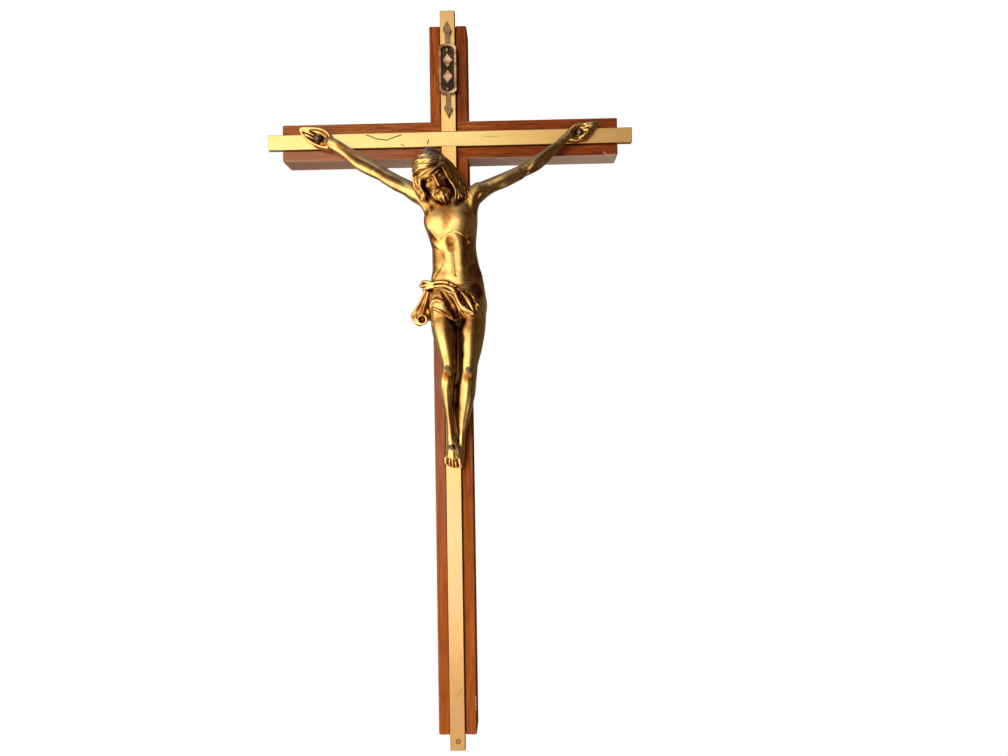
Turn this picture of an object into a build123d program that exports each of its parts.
"""A wall crucifix: a half-lapped wooden cross, let-in brass strips, a cast figure and a hanging ring.

Millimetres. X is the viewer's right, Z is up, and Y points into the wall. The origin is on the flat back
of the cross, behind the point where its two axes meet, so everything in front of the wall has Y below 0.
"""

import os
from math import cos, radians, sin

from build123d import *

# Wooden cross
overall_height = 254.0
overall_width = 126.0
cross_drop = 44.8
board_width = 13.0
board_thickness = 9.5
board_edge_round = 0.5

# Brass strips, let into a groove along the face of each board
strip_width = 5.2
strip_thickness = 2.2
strip_overhang = 4.8
strip_edge_round = 0.25
groove_depth = 1.0
groove_gap = 0.25

# Screw from behind that clamps both laps at the crossing
screw_shank_radius = 1.2
screw_head_radius = 2.3
screw_head_height = 1.3
screw_head_sink = 0.2
screw_slot_width = 0.6
screw_slot_depth = 0.7
screw_tip_cover = 0.5

# Nails through the hands and feet
nail_head_radius = 1.15
nail_head_height = 0.9
nail_shank_radius = 0.55
nail_point_length = 1.2
nail_tip_radius = 0.12
nail_bite = 4.0
hole_clearance = 0.05
seat_clearance = 0.2

# Cast figure from crown to toe, and where it is nailed, as shares of that height
figure_height = 106.0
hand_spread_share = 0.849
hand_rise_share = 0.0066
feet_drop_share = 0.999
toe_drop_share = 0.0708
hand_thickness_share = 0.0245
hand_seat_share = 0.016
feet_seat_share = 0.0434

# Title plate on the upper arm of the upright strip
plate_thickness = 0.8
plate_relief = 0.5
plate_panel_width = 6.0
plate_panel_height = 17.0
plate_panel_corner = 1.0
plate_panel_rise = 15.4
plate_border = 0.7
plate_stem_width = 1.5
plate_stem_length = 8.2
plate_finial_width = 3.0
lozenge_slope_share = 1.45
lozenge_level_shares = [0.335, 0.665]
plate_pin_inset = 1.6
plate_pin_head_radius = 0.85
plate_pin_head_height = 0.6
plate_pin_shank_radius = 0.4
plate_pin_bite = 2.6

# Hanger, sunk in a pocket in the back of the upright
hanger_rise = 27.0
ring_wire_radius = 0.5
ring_mean_radius = 3.9
strap_width = 3.0
strap_sheet = 0.5
eye_clearance = 0.12
strap_tail = 12.4
strap_end_margin = 1.5
pocket_clearance = 0.5
hanger_pin_head_radius = 1.0
hanger_pin_head_height = 0.45
hanger_pin_shank_radius = 0.45
hanger_pin_bite = 3.0

# Extra length on every cutting tool
overrun = 1.0

# Depths and levels that several pieces share
board_front = -board_thickness
groove_floor = board_front + groove_depth
strip_front = groove_floor - strip_thickness
lap_plane = -board_thickness / 2
strip_lap_plane = groove_floor - strip_thickness / 2
strip_top = cross_drop
strip_bottom = cross_drop - overall_height
board_top = strip_top - strip_overhang
board_bottom = strip_bottom + strip_overhang
board_half_span = overall_width / 2 - strip_overhang
groove_width = strip_width + 2 * groove_gap

hand_reach = hand_spread_share * figure_height / 2
hand_rise = hand_rise_share * figure_height
feet_drop = feet_drop_share * figure_height
hand_nail_places = [(-hand_reach, hand_rise), (hand_reach, hand_rise)]
feet_nail_place = (0, -feet_drop)
toe_level = -feet_drop - toe_drop_share * figure_height
hand_thickness = hand_thickness_share * figure_height
hand_seat_height = hand_seat_share * figure_height
feet_seat_height = feet_seat_share * figure_height

plate_back = strip_front
plate_ground = plate_back - plate_thickness
plate_panel_top = plate_panel_rise + plate_panel_height
plate_pin_levels = [plate_panel_rise + plate_pin_inset, plate_panel_top - plate_pin_inset]

# The wire leaves the middle of the eye by the rise of its own curve over half the strap's width
ring_sag = strap_width**2 / (8 * ring_mean_radius)
eye_bore_radius = ring_wire_radius + ring_sag + eye_clearance
eye_radius = eye_bore_radius + strap_sheet
ring_reach = 2 * ring_mean_radius + ring_wire_radius
pocket_depth = 2 * eye_radius + eye_clearance
pocket_floor = -pocket_depth
pocket_half_width = ring_mean_radius + ring_wire_radius + pocket_clearance
pocket_top = hanger_rise + ring_reach + pocket_clearance
strap_end = hanger_rise - strap_tail
pocket_bottom = strap_end - pocket_clearance
eye_axis_depth = pocket_floor + eye_radius
hanger_pin_levels = [hanger_rise - ring_mean_radius, strap_end + strap_end_margin]


def block(x_low, x_high, y_low, y_high, z_low, z_high):
    """A box between six planes."""
    centre = ((x_low + x_high) / 2, (y_low + y_high) / 2, (z_low + z_high) / 2)
    return Pos(*centre) * Box(x_high - x_low, y_high - y_low, z_high - z_low)


def rod(radius, x, z, y_low, y_high):
    """A round bar along Y between two depths."""
    return Pos(x, (y_low + y_high) / 2, z) * Rot(90, 0, 0) * Cylinder(radius, y_high - y_low)


def domed_pin(head_radius, head_height, shank_radius, shank_length, tip_radius, point_length):
    """A nail that stands on its seat at Z = 0, its dome above and its pointed shank below."""
    dome_radius = (head_radius**2 + head_height**2) / (2 * head_height)
    ball = Pos(0, 0, head_height - dome_radius) * Sphere(dome_radius)
    head = split(ball, bisect_by=Plane.XY, keep=Keep.TOP)
    straight_length = shank_length - point_length
    hang = (Align.CENTER, Align.CENTER, Align.MAX)
    shank = Cylinder(shank_radius, straight_length, align=hang)
    point = Pos(0, 0, -straight_length) * Cone(tip_radius, shank_radius, point_length, align=hang)
    return head + shank + point


def from_front(x, y, z):
    """The place of a pin that is driven in from the front, its seat at depth y."""
    return Pos(x, y, z) * Rot(90, 0, 0)


def from_back(x, y, z):
    """The place of a pin that is driven in from the back, its seat at depth y."""
    return Pos(x, y, z) * Rot(-90, 0, 0)


# Wooden cross


def nail_pilots():
    """Holes in the boards for the points of the nails and the title plate's pins."""
    depth = groove_floor + nail_bite
    holes = [rod(nail_shank_radius, x, z, board_front, depth) for x, z in [*hand_nail_places, feet_nail_place]]
    plate_depth = groove_floor + plate_pin_bite
    holes += [rod(plate_pin_shank_radius, 0, z, board_front, plate_depth) for z in plate_pin_levels]
    return holes


def screw_hole(radius):
    """The hole of the crossing screw with its countersink, from the back face to the strips."""
    seat = -screw_head_sink
    cone = from_back(0, seat, 0) * Cone(
        radius, screw_head_radius, screw_head_height, align=(Align.CENTER, Align.CENTER, Align.MAX)
    )
    mouth = rod(screw_head_radius, 0, 0, seat, overrun)
    return cone + mouth + rod(radius, 0, 0, board_front, seat - screw_head_height)


def hanger_pocket():
    """The pocket that the hanger lies in, with room for the ring to lie down or stand up."""
    return block(
        -pocket_half_width, pocket_half_width, pocket_floor, overrun, pocket_bottom, pocket_top
    )


def make_upright_board():
    half = board_width / 2
    board = block(-half, half, board_front, 0, board_bottom, board_top)
    board = fillet(board.edges(), board_edge_round)
    board -= block(-half - overrun, half + overrun, board_front - overrun, lap_plane, -half, half)
    board -= block(
        -groove_width / 2, groove_width / 2, board_front - overrun, groove_floor,
        board_bottom - overrun, board_top + overrun,
    )
    board -= hanger_pocket()
    board -= screw_hole(screw_shank_radius + hole_clearance)
    board -= nail_pilots()
    for level in hanger_pin_levels:
        board -= rod(hanger_pin_shank_radius, 0, level, pocket_floor - hanger_pin_bite, pocket_floor)
    return board


def make_cross_board():
    half = board_width / 2
    board = block(-board_half_span, board_half_span, board_front, 0, -half, half)
    board = fillet(board.edges(), board_edge_round)
    board -= block(-half, half, lap_plane, overrun, -half - overrun, half + overrun)
    along = board_half_span + overrun
    board -= block(
        -along, along, board_front - overrun, groove_floor, -groove_width / 2, groove_width / 2
    )
    board -= block(
        -groove_width / 2, groove_width / 2, board_front - overrun, groove_floor,
        -half - overrun, half + overrun,
    )
    board -= screw_hole(screw_shank_radius + hole_clearance)
    board -= nail_pilots()
    return board


# Brass strips


def strip_holes():
    """Clearance holes for everything that is driven through the strips."""
    radius = nail_shank_radius + hole_clearance
    places = [*hand_nail_places, feet_nail_place]
    holes = [rod(radius, x, z, strip_front - overrun, groove_floor + overrun) for x, z in places]
    pin_radius = plate_pin_shank_radius + hole_clearance
    for level in plate_pin_levels:
        holes.append(rod(pin_radius, 0, level, strip_front - overrun, groove_floor + overrun))
    holes.append(rod(screw_shank_radius, 0, 0, strip_front + screw_tip_cover, groove_floor + overrun))
    return holes


def make_upright_strip():
    half = strip_width / 2
    strip = block(-half, half, strip_front, groove_floor, strip_bottom, strip_top)
    strip = fillet(strip.edges(), strip_edge_round)
    strip -= block(
        -half - overrun, half + overrun, strip_front - overrun, strip_lap_plane, -half, half
    )
    return strip - strip_holes()


def make_cross_strip():
    half = strip_width / 2
    strip = block(-overall_width / 2, overall_width / 2, strip_front, groove_floor, -half, half)
    strip = fillet(strip.edges(), strip_edge_round)
    strip -= block(
        -half, half, strip_lap_plane, groove_floor + overrun, -half - overrun, half + overrun
    )
    return strip - strip_holes()


def make_crossing_screw():
    """A slotted countersunk screw, its head just below the back face and its tip in the strips."""
    seat = -screw_head_sink
    hang = (Align.CENTER, Align.CENTER, Align.MAX)
    head = Cone(screw_shank_radius, screw_head_radius, screw_head_height, align=hang)
    tip = strip_front + screw_tip_cover
    shank = Cylinder(screw_shank_radius, seat - tip, align=hang)
    slot = Pos(0, 0, -screw_slot_depth / 2) * Box(
        2 * screw_head_radius, screw_slot_width, screw_slot_depth
    )
    return from_back(0, seat, 0) * (head + shank - slot)


# Nails


def make_nail(place, seat_height):
    """A nail whose head bears on the figure at seat_height in front of the strips."""
    seat = strip_front - seat_height
    shank_length = groove_floor + nail_bite - seat
    pin = domed_pin(
        nail_head_radius, nail_head_height, nail_shank_radius, shank_length,
        nail_tip_radius, nail_point_length,
    )
    return from_front(place[0], seat, place[1]) * pin


# Cast figure: places and sizes below are shares of figure_height. Across is X from the upright's axis,
# forward is the distance in front of the strips and up is the height above the toes.

# Up, across, forward, half width, half depth
torso_shares = [
    (0.470, 0.022, 0.066, 0.084, 0.044),
    (0.510, 0.024, 0.064, 0.090, 0.049),
    (0.575, 0.022, 0.062, 0.084, 0.047),
    (0.620, 0.024, 0.062, 0.0755, 0.0425),
    (0.668, 0.021, 0.064, 0.069, 0.043),
    (0.708, 0.016, 0.068, 0.073, 0.049),
    (0.758, 0.011, 0.072, 0.081, 0.054),
    (0.815, 0.010, 0.072, 0.084, 0.052),
    (0.862, 0.004, 0.074, 0.070, 0.041),
    (0.884, 0.000, 0.080, 0.046, 0.032),
]

# Across, forward, up, radius; an arm's rows run from inside the chest to the elbow
neck_shares = [
    (-0.004, 0.082, 0.860, 0.034),
    (-0.016, 0.096, 0.888, 0.031),
    (-0.034, 0.112, 0.916, 0.034),
]
arm_shares = {
    "left": [
        (-0.052, 0.072, 0.846, 0.040),
        (-0.100, 0.070, 0.873, 0.030),
        (-0.158, 0.062, 0.910, 0.0245),
        (-0.219, 0.050, 0.953, 0.0235),
    ],
    "right": [
        (0.066, 0.072, 0.850, 0.040),
        (0.110, 0.070, 0.880, 0.030),
        (0.181, 0.060, 0.913, 0.0235),
        (0.255, 0.048, 0.958, 0.0235),
    ],
}

# Share of the way from the elbow to the palm, radius
forearm_shares = [(0.30, 0.0215), (0.60, 0.0170), (0.84, 0.0138), (1.0, 0.0122)]

leg_shares = {
    "left": [
        (-0.025, 0.066, 0.520, 0.043),
        (-0.019, 0.088, 0.440, 0.0375),
        (-0.012, 0.104, 0.386, 0.0320),
        (-0.006, 0.115, 0.310, 0.0262),
        (-0.010, 0.092, 0.250, 0.0245),
        (-0.009, 0.066, 0.190, 0.0185),
        (-0.005, 0.046, 0.119, 0.0142),
        (-0.003, 0.041, 0.090, 0.0150),
    ],
    "right": [
        (0.072, 0.066, 0.520, 0.044),
        (0.073, 0.088, 0.440, 0.0385),
        (0.067, 0.104, 0.386, 0.0338),
        (0.058, 0.113, 0.310, 0.0272),
        (0.053, 0.086, 0.250, 0.0285),
        (0.042, 0.056, 0.190, 0.0235),
        (0.031, 0.032, 0.117, 0.0150),
        (0.026, 0.020, 0.070, 0.0150),
        (0.022, 0.016, 0.024, 0.0140),
    ],
}
hair_shares = {
    "left": [
        (-0.084, 0.116, 0.935, 0.024),
        (-0.088, 0.118, 0.900, 0.021),
        (-0.080, 0.116, 0.866, 0.017),
        (-0.070, 0.114, 0.838, 0.010),
    ],
    "right": [
        (-0.006, 0.104, 0.972, 0.026),
        (0.028, 0.104, 0.918, 0.028),
        (0.050, 0.106, 0.874, 0.024),
        (0.059, 0.106, 0.846, 0.013),
    ],
}

# Across, forward, up, half width, half depth
foot_shares = [
    (-0.003, 0.041, 0.110, 0.0150, 0.0148),
    (0.001, 0.036, 0.064, 0.0200, 0.0145),
    (0.002, 0.027, 0.030, 0.0270, 0.0125),
    (0.002, 0.019, 0.002, 0.0240, 0.0090),
]
cloth_shares = [
    (0.020, 0.074, 0.462, 0.086, 0.044),
    (0.023, 0.070, 0.510, 0.0945, 0.0535),
    (0.022, 0.064, 0.560, 0.0895, 0.0515),
    (0.022, 0.062, 0.582, 0.0850, 0.0490),
]
tail_shares = [
    (-0.076, 0.066, 0.590, 0.020, 0.018),
    (-0.086, 0.060, 0.540, 0.018, 0.014),
    (-0.102, 0.054, 0.490, 0.027, 0.018),
    (-0.100, 0.052, 0.462, 0.022, 0.014),
]

# Head: centre, long half axis, cross half axis, and how far the top leans to the left and the brow forward
skull_place_shares = (-0.046, 0.116, 0.921)
skull_half_length_share = 0.067
skull_radius_share = 0.056
face_place_shares = (-0.025, 0.134, 0.872)
face_half_length_share = 0.054
face_radius_share = 0.040
wreath_rise_share = 0.018
wreath_mean_share = 0.0515
wreath_wire_share = 0.0095
head_lean = 20.0
head_nod = 16.0

# Hands: sizes as shares of figure_height, and angles of the hand and of each finger in degrees
palm_length_share = 0.070
palm_half_width_share = 0.0205
palm_half_depth_share = 0.0130
palm_taper_shares = [(-0.56, 0.66), (-0.24, 0.95), (0.14, 1.0), (0.50, 0.80)]
palm_heel_share = -0.36
finger_length_share = 0.040
finger_radius_share = 0.0068
finger_tip_share = 0.72
finger_spread_shares = [-0.66, -0.22, 0.22, 0.66]
finger_fan = 9.0
thumb_length_share = 0.036
thumb_turn = 34.0
hand_angle = {"left": 145.0, "right": 27.0}
palm_length = palm_length_share * figure_height
palm_half_width = palm_half_width_share * figure_height
palm_half_depth = palm_half_depth_share * figure_height


def body_place(across, forward, up):
    """A place on the figure, from its shares of figure_height."""
    return Vector(
        across * figure_height, strip_front - forward * figure_height, toe_level + up * figure_height
    )


def limb(stations, across):
    """A round limb through stations of a place and a radius, each section square to the limb there."""
    faces = []
    last = len(stations) - 1
    for i, (place, radius) in enumerate(stations):
        run = stations[min(i + 1, last)][0] - stations[max(i - 1, 0)][0]
        faces.append(Plane(origin=place, x_dir=across, z_dir=run) * Circle(radius))
    return loft(faces)


def limb_from_shares(shares):
    """A limb that runs up and down, from rows of across, forward, up and radius."""
    return limb([(body_place(*row[:3]), row[3] * figure_height) for row in shares], across=(1, 0, 0))


def level_loft(rows):
    """A body through level elliptical sections of across, forward, up, half width and half depth."""
    faces = []
    for across, forward, up, half_width, half_depth in rows:
        plane = Plane(origin=body_place(across, forward, up), x_dir=(1, 0, 0), z_dir=(0, 0, 1))
        faces.append(plane * Ellipse(half_width * figure_height, half_depth * figure_height))
    return loft(faces)


def head_plane(place_shares):
    """A plane across the head, its normal along the head's own axis towards the crown."""
    lean, nod = radians(head_lean), radians(head_nod)
    axis = (-sin(lean), -sin(nod) * cos(lean), cos(nod) * cos(lean))
    return Plane(origin=body_place(*place_shares), x_dir=(1, 0, 0), z_dir=axis)


def spheroid(plane, half_length, radius):
    """A round egg along the plane's normal, made by turning half an ellipse."""
    half_profile = Ellipse(radius, half_length) & Pos(radius, 0) * Rectangle(2 * radius, 3 * half_length)
    return plane * revolve(Rot(90, 0, 0) * half_profile, Axis.Z)


def make_head():
    """Skull and face as two eggs, with the hair's locks and the wreath round the brow."""
    skull_plane = head_plane(skull_place_shares)
    skull = spheroid(
        skull_plane, skull_half_length_share * figure_height, skull_radius_share * figure_height
    )
    face = spheroid(
        head_plane(face_place_shares),
        face_half_length_share * figure_height, face_radius_share * figure_height,
    )
    wreath = skull_plane.offset(wreath_rise_share * figure_height) * Torus(
        wreath_mean_share * figure_height, wreath_wire_share * figure_height
    )
    locks = [limb_from_shares(rows) for rows in hair_shares.values()]
    return [skull, face, wreath, *locks]


def hand_axes(side, place):
    """The palm's centre in front of the strips, the way the fingers point and the way the thumb lies."""
    turn = radians(hand_angle[side])
    along = Vector(cos(turn), 0, sin(turn))
    across = Vector(-sin(turn), 0, cos(turn)) * (-1 if side == "left" else 1)
    centre = Vector(place[0], strip_front - hand_thickness + palm_half_depth, place[1])
    return centre, along, across


def make_arm(side, place):
    """An arm from the chest through the elbow into the heel of the palm."""
    stations = [(body_place(*row[:3]), row[3] * figure_height) for row in arm_shares[side]]
    elbow = stations[-1][0]
    centre, along, _ = hand_axes(side, place)
    heel = centre + along * (palm_heel_share * palm_length)
    for way, radius in forearm_shares:
        stations.append((elbow + (heel - elbow) * way, radius * figure_height))
    return limb(stations, across=(0, 1, 0))


def make_hand(side, place):
    """A flat palm on the strips round the nail, with four fingers and a thumb."""
    centre, along, across = hand_axes(side, place)
    faces = []
    for reach, taper in palm_taper_shares:
        plane = Plane(origin=centre + along * (reach * palm_length), x_dir=across, z_dir=along)
        faces.append(plane * Ellipse(taper * palm_half_width, taper * palm_half_depth))
    pieces = [loft(faces)]
    radius = finger_radius_share * figure_height
    knuckles = centre + along * (palm_taper_shares[-1][0] * palm_length - radius)
    for spread in finger_spread_shares:
        fan = radians(finger_fan * spread)
        heading = along * cos(fan) + across * sin(fan)
        root = knuckles + across * (spread * palm_half_width * palm_taper_shares[-1][1])
        tip = root + heading * (finger_length_share * figure_height)
        pieces.append(limb([(root, radius), (tip, radius * finger_tip_share)], across))
    fan = radians(thumb_turn)
    heading = along * cos(fan) + across * sin(fan)
    root = centre + across * (palm_half_width / 2)
    tip = root + heading * (thumb_length_share * figure_height)
    pieces.append(limb([(root, radius), (tip, radius * finger_tip_share)], along))
    return pieces


def nail_seat(place, seat_height):
    """The hole for a nail through the figure, and the flat that the nail's head bears on."""
    seat = strip_front - seat_height
    hole = rod(nail_shank_radius + hole_clearance, place[0], place[1], seat - overrun, strip_front + overrun)
    flat = rod(
        nail_head_radius + seat_clearance, place[0], place[1], seat - nail_head_height - overrun, seat
    )
    return hole + flat


def make_corpus():
    """The figure as one casting, flat where its hands and feet bear on the strips."""
    body = level_loft([(x, y, z, w, d) for z, x, y, w, d in torso_shares])
    pieces = [level_loft(cloth_shares), limb_from_shares(neck_shares), *make_head()]
    pieces += [limb_from_shares(rows) for rows in leg_shares.values()]
    pieces += [level_loft(foot_shares), level_loft(tail_shares)]
    for side, place in zip(hand_angle, hand_nail_places):
        pieces += [make_arm(side, place), *make_hand(side, place)]
    for piece in pieces:
        body += piece
    wall = figure_height
    body -= block(-wall, wall, strip_front, strip_front + wall, toe_level - wall, wall)
    for place in hand_nail_places:
        body -= nail_seat(place, hand_seat_height)
    return body - nail_seat(feet_nail_place, feet_seat_height)


# Title plate


def plate_panel(inset):
    """The middle panel's outline with clipped corners, inset evenly from its edge."""
    half = plate_panel_width / 2 - inset
    low, high = plate_panel_rise + inset, plate_panel_top - inset
    clip = plate_panel_corner
    return [
        (-half + clip, low), (half - clip, low), (half, low + clip), (half, high - clip),
        (half - clip, high), (-half + clip, high), (-half, high - clip), (-half, low + clip),
    ]


def plate_stem(base, direction):
    """A slim stem that ends in a lozenge, running from the panel's edge."""
    half_stem, half_finial = plate_stem_width / 2, plate_finial_width / 2
    tip = base + direction * plate_stem_length
    shoulder = tip - direction * plate_finial_width
    waist = shoulder - direction * half_finial
    root = base - direction * plate_border
    return [
        (-half_stem, root), (-half_stem, waist), (-half_finial, shoulder), (0, tip),
        (half_finial, shoulder), (half_stem, waist), (half_stem, root),
    ]


def plate_lozenge(level):
    """A lozenge that stands up from the panel's ground."""
    half_width = plate_panel_width / 2 - 2 * plate_border
    half_height = half_width * lozenge_slope_share
    return [(0, level - half_height), (half_width, level), (0, level + half_height), (-half_width, level)]


def slab(points, y_low, y_high):
    """A plate of the given outline in X and Z, between two depths."""
    face = make_face(Polyline(*[Vector(x, 0, z) for x, z in points], close=True))
    return Pos(0, y_high, 0) * extrude(face, amount=y_high - y_low, dir=(0, -1, 0))


def make_title_plate():
    """A cast plate with a sunk panel, two raised lozenges and a finial above and below."""
    face = plate_ground - plate_relief
    plate = slab(plate_panel(0), face, plate_back)
    plate -= slab(plate_panel(plate_border), face - overrun, plate_ground)
    plate += slab(plate_stem(plate_panel_top, 1), face, plate_back)
    plate += slab(plate_stem(plate_panel_rise, -1), face, plate_back)
    for share in lozenge_level_shares:
        level = plate_panel_rise + share * plate_panel_height
        plate += slab(plate_lozenge(level), face, plate_ground)
    for level in plate_pin_levels:
        seat_radius = plate_pin_head_radius + seat_clearance
        plate -= rod(seat_radius, 0, level, face - overrun, plate_ground)
        plate -= rod(plate_pin_shank_radius + hole_clearance, 0, level, face, plate_back + overrun)
    return plate


def make_plate_pins():
    """Two domed pins that hold the title plate, as one group of solids."""
    shank_length = groove_floor + plate_pin_bite - plate_ground
    pin = domed_pin(
        plate_pin_head_radius, plate_pin_head_height, plate_pin_shank_radius, shank_length,
        nail_tip_radius, plate_pin_shank_radius * 2,
    )
    return Compound([from_front(0, plate_ground, level) * pin for level in plate_pin_levels])


# Hanger


def make_hanger_strap():
    """A strip of sheet rolled into an eye round the ring, its tail pinned to the pocket's floor."""
    half = strap_width / 2
    roll = Pos(0, eye_axis_depth, hanger_rise) * Rot(0, 90, 0)
    strap = roll * Cylinder(eye_radius, strap_width)
    strap += block(-half, half, pocket_floor, pocket_floor + strap_sheet, strap_end, hanger_rise)
    strap -= roll * Cylinder(eye_bore_radius, strap_width + overrun)
    for level in hanger_pin_levels:
        radius = hanger_pin_shank_radius + hole_clearance
        strap -= rod(radius, 0, level, pocket_floor - overrun, pocket_floor + strap_sheet + overrun)
    return strap


def make_hanger_ring():
    """The ring, hanging straight down from the strap's eye."""
    centre = Pos(0, eye_axis_depth, hanger_rise - ring_mean_radius)
    return centre * Rot(90, 0, 0) * Torus(ring_mean_radius, ring_wire_radius)


def make_hanger_pins():
    """Two domed pins that hold the strap, as one group of solids."""
    pin = domed_pin(
        hanger_pin_head_radius, hanger_pin_head_height, hanger_pin_shank_radius,
        strap_sheet + hanger_pin_bite, nail_tip_radius, hanger_pin_shank_radius * 2,
    )
    seat = pocket_floor + strap_sheet
    return Compound([from_back(0, seat, level) * pin for level in hanger_pin_levels])


def main():
    os.makedirs("parts", exist_ok=True)
    left_hand, right_hand = hand_nail_places
    nodes = {
        "upright_board": make_upright_board(),
        "cross_board": make_cross_board(),
        "upright_strip": make_upright_strip(),
        "cross_strip": make_cross_strip(),
        "crossing_screw": make_crossing_screw(),
        "corpus": make_corpus(),
        "left_hand_nail": make_nail(left_hand, hand_seat_height),
        "right_hand_nail": make_nail(right_hand, hand_seat_height),
        "feet_nail": make_nail(feet_nail_place, feet_seat_height),
        "title_plate": make_title_plate(),
        "title_plate_pins": make_plate_pins(),
        "hanger_strap": make_hanger_strap(),
        "hanger_ring": make_hanger_ring(),
        "hanger_pins": make_hanger_pins(),
    }
    for name, shape in nodes.items():
        export_step(shape, f"parts/{name}.step")


if __name__ == "__main__":
    main()
